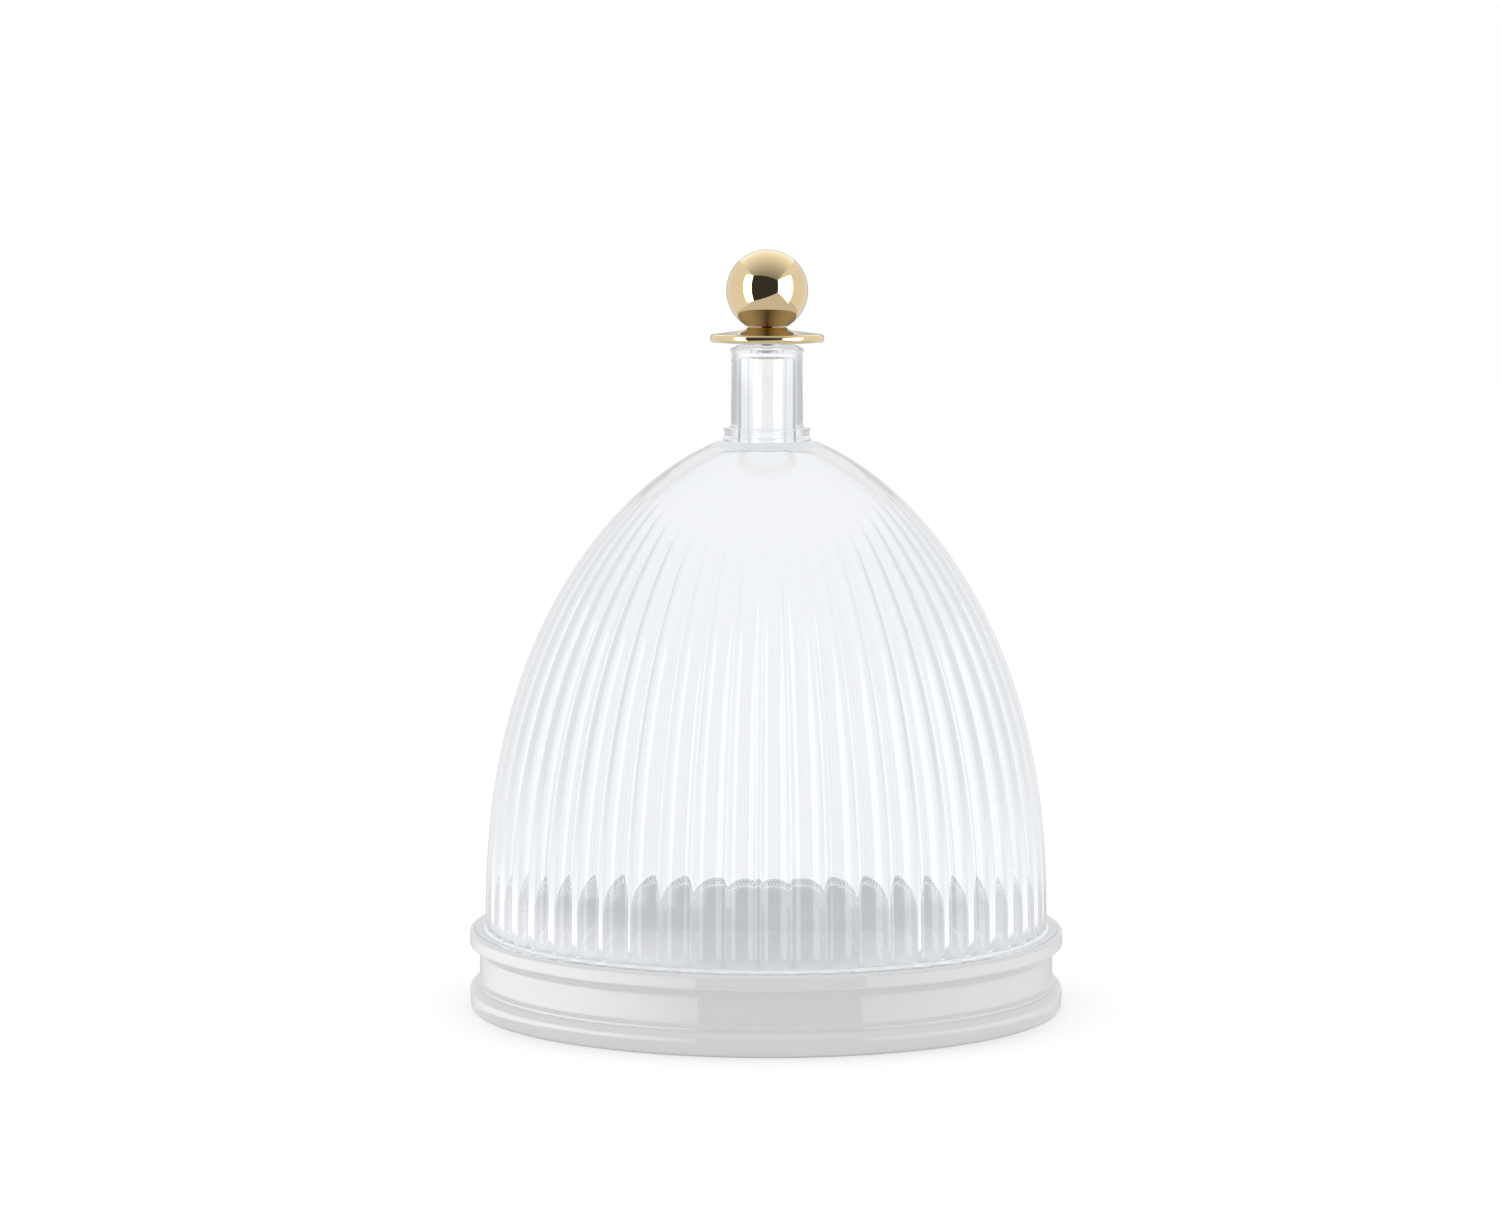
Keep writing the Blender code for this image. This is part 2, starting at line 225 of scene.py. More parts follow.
# The powers of the wall's outline, upwards and outwards: at 2 and 2 it would be an ellipse
OUTLINE_UP = 2.26
OUTLINE_OUT = 1.677
CROWN_RADIUS = 0.0187
CROWN_HOLE = 0.0123
CROWN_HOLE_UNDER = 0.0111
FLANGE_RADIUS = 0.1080
FLANGE_THICKNESS = 0.0016
FLANGE_FILLET = 0.0006
WALL_FOOT = 0.0041
FLANGE_ROUND = 0.0003
FLUTE_COUNT = 52
# One ridge stands this far off the front, toward -X
FLUTE_TURN = math.radians(1.74)
FLUTE_EDGE_SLOPE = math.radians(26)
# The round on each ridge takes this share of half a flute's width
RIDGE_ROUND = 0.20
FLUTE_FOOT = 0.0008
FLUTE_RUNOUT = 0.0055
# The flutes have their full depth where the dome is wider than the first radius, and none within the second
FLUTE_FULL_RADIUS = 0.070
FLUTE_END_RADIUS = 0.044
OUTER_ROWS = 72
INNER_ROWS = 96
RUNOUT_ROWS = 10
ACRYLIC_TINT = "FCFDFE"
ACRYLIC_ROUGHNESS = (0.005, 0.009)
ACRYLIC_IOR = 1.49
POLISH_SIZE = 0.020
# Light that has been mirrored inside the acrylic more often than the first value below ends there in a
# painted glow of one of these colours. The glow stands in for the light it would still carry: the foot's
# colour at the flange, the low one over it and the high one further up. Each pair of heights says where one
# gives way to the next.
PAINTED_GLOW_AFTER = 1.5
PAINTED_GLOW_HIGH = "E1E3E6"
PAINTED_GLOW_LOW = "F8FAFD"
PAINTED_GLOW_FOOT = "CBCED1"
LOW_TO_HIGH = (0.042, 0.105)
FOOT_TO_LOW = (0.0298, 0.0330)
# Where the points of a flute lie, from its middle at 0 to the ridge at 1: closer together at the ridge
FLUTE_POINTS = (0.0, 0.20, 0.40, 0.60, 0.74, 0.82, 0.88, 0.94)

crown_share = (1 - (CROWN_RADIUS / DOME_RADIUS) ** OUTLINE_OUT) ** (1 / OUTLINE_UP)
outline_height = (DOME_RISE - WALL_FOOT) / crown_share
crown_angle = math.asin(crown_share ** (OUTLINE_UP / 2))
dome_inner_radius = DOME_RADIUS - DOME_WALL


def wall_point(angle):
    """A point of the dome's outer outline over its seat, from 0 at the foot of the wall to crown_angle."""
    radius = DOME_RADIUS * math.cos(angle) ** (2 / OUTLINE_OUT)
    return radius, WALL_FOOT + outline_height * math.sin(angle) ** (2 / OUTLINE_UP)


def inner_wall_point(angle):
    """The same point moved square to the outline, inwards by the wall's thickness."""
    nudge = math.radians(0.5)
    low = wall_point(angle - nudge)
    high = wall_point(angle + nudge)
    along_r = high[0] - low[0]
    along_z = high[1] - low[1]
    length = math.hypot(along_r, along_z)
    radius, height = wall_point(angle)
    return radius - DOME_WALL * along_z / length, height + DOME_WALL * along_r / length


def flute_share(angle):
    """How much of its full depth a flute has behind this point of the outline."""
    share = (wall_point(angle)[0] - FLUTE_END_RADIUS) / (FLUTE_FULL_RADIUS - FLUTE_END_RADIUS)
    share = min(max(share, 0.0), 1.0)
    return share * share * (3 - 2 * share)


def flute_recess(point, angle):
    """How far a flute goes into the wall here: a hollow of round section, with a small round on each ridge.
    The outline's third value shrinks the whole section, its fourth cuts it off like a round nosed cutter."""
    if len(point) < 3:
        return 0.0
    half_width = math.pi * point[0] / FLUTE_COUNT
    place = (angle + math.pi / 2 + FLUTE_TURN) * FLUTE_COUNT / (2 * math.pi)
    across = abs((place % 1.0) * 2 - 1) * half_width
    full = half_width * math.tan(FLUTE_EDGE_SLOPE / 2)
    ridge = RIDGE_ROUND * half_width
    if across <= half_width - ridge:
        bend = (half_width - ridge) / math.sin(FLUTE_EDGE_SLOPE)
        fall = bend - math.sqrt(bend ** 2 - across ** 2)
    else:
        bend = ridge / math.sin(FLUTE_EDGE_SLOPE)
        fall = full - bend + math.sqrt(bend ** 2 - (half_width - across) ** 2)
    return max(full * point[3] - fall, 0.0) * point[2]


def dome_turns():
    """The angles of the dome's rows of points: closer together at each ridge."""
    turns = []
    pitch = 2 * math.pi / FLUTE_COUNT
    for flute in range(FLUTE_COUNT):
        middle = -math.pi / 2 - FLUTE_TURN + pitch * (flute + 0.5)
        turns += [middle - pitch / 2 * share for share in reversed(FLUTE_POINTS[1:])]
        turns += [middle + pitch / 2 * share for share in FLUTE_POINTS]
        turns.append(middle + pitch / 2)
    return turns


def clear_acrylic():
    """Polished clear acrylic, PMMA. The eye gets bright edges, a hint of blue where the light crosses much of
    it, and a polish that is a little softer in places, as a mould leaves it. Light that has been mirrored
    inside a ridge more than once ends in a painted glow instead: a soft grey, lighter low down, standing in
    for what the white base feeds it, and darker at the flange."""
    material, tree, output = start_material("clear_acrylic")
    place = add_node(tree, "TexCoord", {}, {}).outputs["Object"]
    cloud = add_node(tree, "TexNoise", {}, {"Vector": place, "Scale": 1 / POLISH_SIZE, "Detail": 2.0})
    polish = add_node(tree, "MapRange", {}, {"Value": cloud.outputs["Fac"], "To Min": ACRYLIC_ROUGHNESS[0],
                                             "To Max": ACRYLIC_ROUGHNESS[1]})
    shader = add_node(tree, "BsdfPrincipled", {},
                      {"Base Color": linear(ACRYLIC_TINT), "Roughness": polish.outputs["Result"],
                       "IOR": ACRYLIC_IOR, "Transmission Weight": 1.0})
    height = add_node(tree, "SeparateXYZ", {}, {0: place}).outputs["Z"]
    low = add_node(tree, "MapRange", {"interpolation_type": "SMOOTHSTEP"},
                   {"Value": height, "From Min": LOW_TO_HIGH[0], "From Max": LOW_TO_HIGH[1],
                    "To Min": 1.0, "To Max": 0.0})
    grey = add_node(tree, "Mix", {"data_type": "RGBA"},
                    {0: low.outputs[0], 6: linear(PAINTED_GLOW_HIGH), 7: linear(PAINTED_GLOW_LOW)})
    foot = add_node(tree, "MapRange", {},
                    {"Value": height, "From Min": FOOT_TO_LOW[0], "From Max": FOOT_TO_LOW[1],
                     "To Min": 1.0, "To Max": 0.0})
    grey = add_node(tree, "Mix", {"data_type": "RGBA"},
                    {0: foot.outputs[0], 6: grey.outputs[2], 7: linear(PAINTED_GLOW_FOOT)})
    # The painted glow: an emission colour in place of the light that goes on being mirrored inside the
    # acrylic
    painted_glow = add_node(tree, "Emission", {}, {"Color": grey.outputs[2]})
    path = add_node(tree, "LightPath", {}, {})
    deep = add_node(tree, "Math", {"operation": "GREATER_THAN"},
                    {0: path.outputs["Glossy Depth"], 1: PAINTED_GLOW_AFTER})
    shader = add_node(tree, "MixShader", {}, {0: deep.outputs[0], 1: shader.outputs[0], 2: painted_glow.outputs[0]})
    tree.links.new(shader.outputs[0], output.inputs[0])
    # The painted glow is only there to be seen, it isn't a lamp
    material.cycles.emission_sampling = "NONE"
    return material


dome_outline = [(CROWN_HOLE, DOME_RISE)]
dome_outline += [wall_point(crown_angle * row / OUTER_ROWS) for row in range(OUTER_ROWS, -1, -1)]
dome_outline += arc(DOME_RADIUS + FLANGE_FILLET, FLANGE_THICKNESS + FLANGE_FILLET, FLANGE_FILLET,
                    FLANGE_FILLET, 180, 270, 10)
dome_outline += arc(FLANGE_RADIUS - FLANGE_ROUND, FLANGE_THICKNESS - FLANGE_ROUND, FLANGE_ROUND, FLANGE_ROUND,
                    90, 0, 3)
dome_outline += arc(FLANGE_RADIUS - FLANGE_ROUND, FLANGE_ROUND, FLANGE_ROUND, FLANGE_ROUND, 0, -90, 3)
dome_outline += [(dome_inner_radius, 0.0), (dome_inner_radius, FLUTE_FOOT)]
for row in range(1, RUNOUT_ROWS + 1):
    up = row / RUNOUT_ROWS
    dome_outline.append((dome_inner_radius, FLUTE_FOOT + FLUTE_RUNOUT * up, 1.0, math.sqrt(2 * up - up * up)))
for row in range(1, INNER_ROWS):
    angle = crown_angle * row / INNER_ROWS
    inner = inner_wall_point(angle)
    if inner[1] > FLUTE_FOOT + FLUTE_RUNOUT:
        dome_outline.append((*inner, flute_share(angle), 1.0))
dome_outline += [(CROWN_RADIUS - DOME_WALL / 2, DOME_RISE - DOME_WALL)]
dome_outline += [(CROWN_HOLE_UNDER, DOME_RISE - DOME_WALL)]
dome_outline = [(point[0], point[1] + DOME_SEAT, *point[2:]) for point in dome_outline]
shell = turned("dome_shell", dome_outline, dome_turns(), "lid", "dome", flute_recess)
acrylic = clear_acrylic()
shell.data.materials.append(acrylic)

# Handle column. The real one is moulded from clear acrylic with a slight draft, and its tapered spigot is
# bonded through the crown's hole. The flange has a ring at its foot and one at its top. The bore is open
# below, and wider at its mouth, where the plug goes in.
COLUMN_LOW, COLUMN_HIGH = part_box("handle_column")
PLUG_LOW, PLUG_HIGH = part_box("bore_plug")
COLUMN_TOP = COLUMN_HIGH.z
COLUMN_HEIGHT = 0.0353
COLUMN_SEAT = COLUMN_TOP - COLUMN_HEIGHT
SPIGOT_BOTTOM = COLUMN_LOW.z
COLUMN_RADIUS = 0.01335
COLUMN_DRAFT = 0.00015
SHAFT_RING = 0.00030
SHAFT_RING_HEIGHT = 0.0010
FLANGE_HEIGHT = 0.0048
FOOT_RING_RADIUS = 0.0164
FOOT_RING_HEIGHT = 0.0016
FOOT_RING_STEP = 0.0006
TOP_RING_STEP = 0.0002
TOP_RING_HEIGHT = 0.0006
SPIGOT_RADIUS = 0.0120
SPIGOT_TAPER = 0.0012
SPIGOT_WALL = 0.0027
SHAFT_BORE_RADIUS = 0.0072
HEAD_BEAD = 0.0005
HEAD_BEAD_HEIGHT = 0.0010
HEAD_CHAMFER = 0.0015
HEAD_SEAT_RADIUS = 0.0105
INSERT_RADIUS = 0.0037
INSERT_LENGTH = 0.0024
HEAD_WEB = 0.0012
BORE_FILLET = 0.0010
GAP = 0.0003
EDGE_ROUND = 0.00015
# A corner with a side shorter than this many rounds stays as it is
EASE_ROOM = 3
COLUMN_STEPS = 128


def eased(corners, radius, steps=3):
    """The outline with each corner cut back by an arc of about this radius, apart from those on the axis."""
    points = []
    for before, here, after in zip([corners[-1]] + corners[:-1], corners, corners[1:] + [corners[0]]):
        to_before = mathutils.Vector((before[0] - here[0], before[1] - here[1]))
        to_after = mathutils.Vector((after[0] - here[0], after[1] - here[1]))
        if here[0] < ON_AXIS or min(to_before.length, to_after.length) < EASE_ROOM * radius:
            points.append(here)
            continue
        corner = mathutils.Vector(here)
        first = corner + to_before.normalized() * radius
        last = corner + to_after.normalized() * radius
        for step in range(steps + 1):
            part = step / steps
            blend = first.lerp(corner, part).lerp(corner.lerp(last, part), part)
            points.append((blend.x, blend.y))
    return points


spigot_end_radius = SPIGOT_RADIUS - SPIGOT_TAPER
mouth_radius = spigot_end_radius - SPIGOT_WALL
shoulder = PLUG_HIGH.z + GAP - COLUMN_SEAT
shaft_top_radius = COLUMN_RADIUS - COLUMN_DRAFT
flange_step = FOOT_RING_RADIUS - FOOT_RING_STEP
top_ring_radius = FOOT_RING_RADIUS - TOP_RING_STEP
pocket_floor = COLUMN_HEIGHT - INSERT_LENGTH - GAP
bore_top = pocket_floor - HEAD_WEB
bead_bottom = COLUMN_HEIGHT - HEAD_CHAMFER - HEAD_BEAD_HEIGHT
pocket_radius = INSERT_RADIUS + GAP
column_outline = [(0.0, pocket_floor), (pocket_radius, pocket_floor), (pocket_radius, COLUMN_HEIGHT)]
column_outline += [(HEAD_SEAT_RADIUS, COLUMN_HEIGHT)]
column_outline += [(shaft_top_radius + HEAD_BEAD, COLUMN_HEIGHT - HEAD_CHAMFER)]
column_outline += [(shaft_top_radius + HEAD_BEAD, bead_bottom), (shaft_top_radius, bead_bottom)]
column_outline += [(COLUMN_RADIUS, FLANGE_HEIGHT + SHAFT_RING_HEIGHT)]
column_outline += [(COLUMN_RADIUS + SHAFT_RING, FLANGE_HEIGHT + SHAFT_RING_HEIGHT)]
column_outline += [(COLUMN_RADIUS + SHAFT_RING, FLANGE_HEIGHT), (top_ring_radius, FLANGE_HEIGHT)]
column_outline += [(top_ring_radius, FLANGE_HEIGHT - TOP_RING_HEIGHT)]
column_outline += [(flange_step, FLANGE_HEIGHT - TOP_RING_HEIGHT)]
column_outline += [(flange_step, FOOT_RING_HEIGHT), (FOOT_RING_RADIUS, FOOT_RING_HEIGHT)]
column_outline += [(FOOT_RING_RADIUS, 0.0)]
column_outline += [(SPIGOT_RADIUS, 0.0), (spigot_end_radius, SPIGOT_BOTTOM - COLUMN_SEAT)]
column_outline += [(mouth_radius, SPIGOT_BOTTOM - COLUMN_SEAT), (mouth_radius, shoulder)]
column_outline += [(SHAFT_BORE_RADIUS, shoulder)]
column_outline = eased(column_outline, EDGE_ROUND)
column_outline += arc(SHAFT_BORE_RADIUS - BORE_FILLET, bore_top - BORE_FILLET, BORE_FILLET, BORE_FILLET,
                      0, 90, 8)
column_outline += [(0.0, bore_top)]
column_outline = [(radius, height + COLUMN_SEAT) for radius, height in column_outline]
column = turned("column_body", column_outline, even_turns(COLUMN_STEPS), "lid",
                "handle_column")
column.data.materials.append(acrylic)

# Bore plug. A clear acrylic disc with a bevelled edge, moulded like the column and pressed into the mouth of
# its bore from inside the dome, to close it.
PLUG_RADIUS = PLUG_HIGH.y
PLUG_BEVEL = 0.0010
plug_outline = [(0.0, PLUG_LOW.z), (PLUG_RADIUS - PLUG_BEVEL, PLUG_LOW.z)]
plug_outline += [(PLUG_RADIUS, PLUG_LOW.z + PLUG_BEVEL), (PLUG_RADIUS, PLUG_HIGH.z), (0.0, PLUG_HIGH.z)]
plug = turned("plug_disc", eased(plug_outline, EDGE_ROUND), even_turns(COLUMN_STEPS), "lid",
              "bore_plug")
plug.data.materials.append(acrylic)

# Thread insert. A turned brass ring, nickel plated, with a chamfer at each end, set in the column's head. It
# shows through the acrylic as the light grey block under the collar.
INSERT_LOW, INSERT_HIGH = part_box("thread_insert")
INSERT_OUTER = INSERT_HIGH.y
INSERT_HOLE = 0.0023
INSERT_CHAMFER = 0.00025
SMALL_STEPS = 64
NICKEL_TONES = ("C4C1BC", "D3D1CD")
NICKEL_ROUGHNESS = (0.18, 0.28)
# Real turning marks are about 0.1 mm wide, too fine to show, so they are drawn this coarse
NICKEL_MARK_SIZE = 0.0004
PLATING_CLOUD_SIZE = 0.008
# The marks run round a piece, so across the axis their noise is drawn out to this share of its scale
MARK_STRETCH = 0.02
MARK_HEIGHT = 0.000004
MARK_STRENGTH = 0.10


def plated_metal(name, tones, roughness, mark_size):
    """Metal with an electroplated finish. The eye gets a mirror with a little haze, and under the plating the
    fine marks of turning or rolling, which run round the piece."""
    material, tree, output = start_material(name)
    place = add_node(tree, "TexCoord", {}, {}).outputs["Object"]
    cloud = add_node(tree, "TexNoise", {}, {"Vector": place, "Scale": 1 / PLATING_CLOUD_SIZE, "Detail": 3.0})
    tone = add_node(tree, "Mix", {"data_type": "RGBA"},
                    {0: cloud.outputs["Fac"], 6: linear(tones[0]), 7: linear(tones[1])})
    haze = add_node(tree, "MapRange", {},
                    {"Value": cloud.outputs["Fac"], "To Min": roughness[0], "To Max": roughness[1]})
    flat = add_node(tree, "Mapping", {}, {"Vector": place, "Scale": (MARK_STRETCH, MARK_STRETCH, 1.0)})
    marks = add_node(tree, "TexNoise", {}, {"Vector": flat.outputs[0], "Scale": 1 / mark_size, "Detail": 2.0})
    bump = add_node(tree, "Bump", {},
                    {"Strength": MARK_STRENGTH, "Distance": MARK_HEIGHT, "Height": marks.outputs["Fac"]})
    shader = add_node(tree, "BsdfPrincipled", {},
                      {"Base Color": tone.outputs[2], "Metallic": 1.0, "Roughness": haze.outputs["Result"],
                       "Normal": bump.outputs["Normal"]})
    tree.links.new(shader.outputs[0], output.inputs[0])
    return material


insert_outline = [(INSERT_HOLE, INSERT_LOW.z), (INSERT_OUTER, INSERT_LOW.z), (INSERT_OUTER, INSERT_HIGH.z)]
insert_outline += [(INSERT_HOLE, INSERT_HIGH.z)]
insert = turned("insert_ring", eased(insert_outline, INSERT_CHAMFER, 1), even_turns(SMALL_STEPS), "lid",
                "thread_insert")
insert.data.materials.append(plated_metal("nickel_plate", NICKEL_TONES, NICKEL_ROUGHNESS, NICKEL_MARK_SIZE))

# Knob stud. A zinc plated steel rod with a rolled thread of 0.7 mm pitch, out of sight inside the ball, the
# collar and the insert, which it pulls together.
STUD_LOW, STUD_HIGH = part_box("knob_stud")
STUD_RADIUS = STUD_HIGH.y
THREAD_PITCH = 0.0007
THREAD_DEPTH = 0.00035
# Where a turn of the thread leaves its root, reaches its crest and leaves that, in shares of the pitch
THREAD_RISE = 0.2
THREAD_CREST = 0.5
THREAD_CREST_END = 0.65
ZINC_TONES = ("A9A9AC", "BCBCBE")
ZINC_ROUGHNESS = (0.28, 0.36)
ZINC_MARK_SIZE = 0.0003
stud_outline = [(0.0, STUD_LOW.z), (STUD_RADIUS - THREAD_DEPTH, STUD_LOW.z)]
turn_count = int((STUD_HIGH.z - STUD_LOW.z) / THREAD_PITCH)
for turn in range(turn_count):
    start = STUD_LOW.z + THREAD_PITCH * turn
    stud_outline.append((STUD_RADIUS - THREAD_DEPTH, start + THREAD_PITCH * THREAD_RISE))
    stud_outline.append((STUD_RADIUS, start + THREAD_PITCH * THREAD_CREST))
    stud_outline.append((STUD_RADIUS, start + THREAD_PITCH * THREAD_CREST_END))
stud_outline += [(STUD_RADIUS - THREAD_DEPTH, STUD_HIGH.z), (0.0, STUD_HIGH.z)]
stud = turned("stud_rod", stud_outline, even_turns(SMALL_STEPS), "lid", "knob_stud")
stud.data.materials.append(plated_metal("zinc_plated_steel", ZINC_TONES, ZINC_ROUGHNESS, ZINC_MARK_SIZE))

# Collar disc. Turned brass, gold plated and polished: a thin disc whose round edge stands a little over its
# seat, like a saucer's, and a low conical hub on top that carries the ball.
COLLAR_LOW, COLLAR_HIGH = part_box("collar_disc")
COLLAR_SEAT = COLLAR_LOW.z
COLLAR_RADIUS = COLLAR_HIGH.y
COLLAR_EDGE = 0.0012
COLLAR_EDGE_HEIGHT = 0.0015
COLLAR_DISH = 0.0006
COLLAR_SLOPE = 0.0014
HUB_RADIUS = 0.0089
HUB_TOP_RADIUS = 0.0070
COLLAR_STEPS = 192
GOLD_TONES = ("E2CB9F", "E7D1A7")
# Polished to a mirror, so it has almost no haze
GOLD_ROUGHNESS = (0.0, 0.003)
GOLD_MARK_SIZE = 0.0006

edge_height = COLLAR_SEAT + COLLAR_DISH + COLLAR_EDGE_HEIGHT
hub_foot = COLLAR_SEAT + COLLAR_DISH + 2 * COLLAR_EDGE_HEIGHT + COLLAR_SLOPE
collar_outline = [(INSERT_HOLE, COLLAR_SEAT), (HEAD_SEAT_RADIUS, COLLAR_SEAT)]
collar_outline += arc(COLLAR_RADIUS - COLLAR_EDGE, edge_height, COLLAR_EDGE, COLLAR_EDGE_HEIGHT, -90, 90, 20)
collar_outline += [(HUB_RADIUS, hub_foot), (HUB_TOP_RADIUS, COLLAR_HIGH.z), (INSERT_HOLE, COLLAR_HIGH.z)]
collar = turned("collar_plate", collar_outline, even_turns(COLLAR_STEPS), "lid", "collar_disc")
gold = plated_metal("polished_gold_plate", GOLD_TONES, GOLD_ROUGHNESS, GOLD_MARK_SIZE)
collar.data.materials.append(gold)

# Ball knob. A turned brass ball with a flat underneath and a tapped hole for the stud, gold plated and
# polished like the collar.
BALL_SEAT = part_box("ball_knob")[0].z
BALL_RADIUS = 0.01505
BALL_FLAT_RADIUS = 0.0074
BALL_SOCKET = 0.0080
BALL_STEPS = 192
ball_centre = BALL_SEAT + math.sqrt(BALL_RADIUS ** 2 - BALL_FLAT_RADIUS ** 2)
flat_angle = -math.degrees(math.acos(BALL_FLAT_RADIUS / BALL_RADIUS))
socket_top = BALL_SEAT + BALL_SOCKET
ball_outline = [(0.0, socket_top), (INSERT_HOLE, socket_top), (INSERT_HOLE, BALL_SEAT)]
ball_outline += arc(0.0, ball_centre, BALL_RADIUS, BALL_RADIUS, flat_angle, 90, 72)[:-1]
ball_outline += [(0.0, ball_centre + BALL_RADIUS)]
ball = turned("ball_body", ball_outline, even_turns(BALL_STEPS), "lid", "ball_knob")
ball.data.materials.append(gold)

# Floor. A matt white vinyl sweep, far wider than the view. The gold and the acrylic don't show it: they
# mirror and bend the light tent alone, so that the dome stays as pale as the backdrop.
FLOOR_SIZE = 12.0
FLOOR_WHITE = "F4F4F4"
FLOOR_ROUGHNESS = 0.9
FLOOR_GLOW = 0.28
GRAIN_SIZE = 0.004
GRAIN_HEIGHT = 0.0002
GRAIN_STRENGTH = 0.05
# Light Path counts in whole numbers: over this, light has been scattered or mirrored at least once
ONCE = 0.5
# Anything within this reach dims the glow, a painted contact shadow added to the real one round the base.
# Beside the base, from and to these distances off the middle, most of that painted shadow is taken away
# again, where the windows at the sides would fill it.
PAINTED_SHADOW_REACH = 0.022
PAINTED_SHADOW_SAMPLES = 8
BESIDE = (0.085, 0.115)
BESIDE_SHADOW_CUT = 0.85


def vinyl_sweep():
    """Matt white vinyl with a faint grain, and a little light of its own so that it reads as pure white where
    nothing shades it. Near the base that light is dimmed into a painted contact shadow."""
    material, tree, output = start_material("white_vinyl_sweep")
    place = add_node(tree, "TexCoord", {}, {}).outputs["Object"]
    grain = add_node(tree, "TexNoise", {}, {"Vector": place, "Scale": 1 / GRAIN_SIZE, "Detail": 2.0})
    bump = add_node(tree, "Bump", {},
                    {"Strength": GRAIN_STRENGTH, "Distance": GRAIN_HEIGHT, "Height": grain.outputs["Fac"]})
    path = add_node(tree, "LightPath", {}, {})
    glow = add_node(tree, "Math", {"operation": "LESS_THAN"}, {0: path.outputs["Diffuse Depth"], 1: ONCE})
    glow = add_node(tree, "Math", {"operation": "MULTIPLY"}, {0: glow.outputs[0], 1: FLOOR_GLOW})
    # Painted contact shadow: the floor's own glow is dimmed near anything, and mostly kept beside the base
    painted_shadow = add_node(tree, "AmbientOcclusion", {"samples": PAINTED_SHADOW_SAMPLES}, {"Distance": PAINTED_SHADOW_REACH})
    across = add_node(tree, "SeparateXYZ", {}, {0: place})
    across = add_node(tree, "Math", {"operation": "ABSOLUTE"}, {0: across.outputs["X"]})
    beside = add_node(tree, "MapRange", {"interpolation_type": "SMOOTHSTEP"},
                      {"Value": across.outputs[0], "From Min": BESIDE[0], "From Max": BESIDE[1],
                       "To Min": 0.0, "To Max": BESIDE_SHADOW_CUT})
    painted_shadow = add_node(tree, "Mix", {}, {0: beside.outputs["Result"], 2: painted_shadow.outputs["AO"], 3: 1.0})
    glow = add_node(tree, "Math", {"operation": "MULTIPLY"}, {0: glow.outputs[0], 1: painted_shadow.outputs[0]})
    shader = add_node(tree, "BsdfPrincipled", {},
                      {"Base Color": linear(FLOOR_WHITE), "Roughness": FLOOR_ROUGHNESS,
                       "Specular IOR Level": 0.0, "Emission Color": linear("FFFFFF"),
                       "Emission Strength": glow.outputs[0], "Normal": bump.outputs["Normal"]})
    tree.links.new(shader.outputs[0], output.inputs[0])
    return material


floor_mesh = bmesh.new()
bmesh.ops.create_grid(floor_mesh, x_segments=1, y_segments=1, size=FLOOR_SIZE / 2)
floor_data = bpy.data.meshes.new("floor")
floor_mesh.to_mesh(floor_data)
floor_mesh.free()
floor = bpy.data.objects.new("floor", floor_data)
bpy.context.scene.collection.objects.link(floor)
floor.data.materials.append(vinyl_sweep())
floor.visible_glossy = False
floor.visible_transmission = False

# Light tent. White cloth on all sides, with two bright windows left and right of the camera, a dark opening
# between them where the camera stands, a pale sweep under it, and a ceiling that is brightest at the back.
WALL_LEVEL = 0.93
# The ceiling reaches this far to each side for its height. Its level is higher by the rise at the back, and
# lower by it at the front.
CEILING_REACH = 0.96
CEILING_LEVEL = 0.78
CEILING_RISE = 0.62
# Straight behind the object the tent is open and keeps only a share of its light. That comes on between these
# two, which are the y of a direction.
BEHIND = (0.88, 1.0)
BEHIND_SHARE = 0.40
# The most that walls and ceiling give to anything but the gold's mirror
SOFT_MOST = 0.86
# Each panel of the tent: its brightness, and its corners as azimuth and elevation in degrees, clockwise as
# seen from the object. Azimuth 0 is the front and + is to the object's right in the camera's view.
LEFT_WINDOW = (3.2, ((-78, 37), (-49.5, 39.7), (-41.9, -26.4), (-66, -29)))
RIGHT_WINDOW = (3.0, ((33.5, 28.1), (86, 34), (70, -30), (30, -4.6)))
CAMERA_OPENING = (0.045, ((-49.5, 39.7), (33.5, 28.1), (30, -4.6), (-41.9, -26.4)))
SWEEP = (0.72, ((-41.9, -26.4), (30, -4.6), (135, -26.6), (-135, -26.6)))
# The tent is near, so the base sees the opening at other angles than the knob does, and less dark
LOW_OPENING = (0.55, ((-30, 38), (38.5, 28), (38, -14), (-26, -27)))
# What the plastics' outer faces mirror of the tent: a band of soft boxes low down, brighter towards each side
# and the front, and an even glow elsewhere. Its bottom and the fade at its top are the z of a direction.
BOX_LEVEL = 0.9
BOX_LEFT = 3.3
BOX_RIGHT = 1.6
BOX_FORWARD = 0.35
BOX_BOTTOM = -0.205
BOX_FADE = (-0.165, -0.09)
EVEN_GLOSS = 0.85
# What is left after two mirrorings: in the gold, at the middle and how much more aside, and in the rest
TWICE = 1.5
TWICE_MIDDLE = 0.10
TWICE_SIDE = 0.50
TWICE_PLASTIC = 0.85
# The backdrop through the acrylic: straight behind, a little aside and far aside, where it is in shade. It
# goes from one to the next between these two, which are the x of a direction.
BACKDROP = "FEFEFF"
BACKDROP_NEAR = "F0F2F6"
BACKDROP_FAR = "C5C7CA"
TO_NEAR = (0.08, 0.50)
TO_FAR = (0.50, 0.80)
# Light on matt surfaces: at the horizon, and how much more comes from overhead, the sides and the left
LOW_LIGHT = 0.60
TOP_LIGHT = 0.24
SIDE_LIGHT = 0.14
LEFT_LIGHT = 0.03


def toward(azimuth, elevation):
    """The direction of a point of the tent."""
    turn = math.radians(azimuth)
    rise = math.radians(elevation)
    level_part = math.cos(rise)
    return mathutils.Vector((math.sin(turn) * level_part, -math.cos(turn) * level_part, math.sin(rise)))


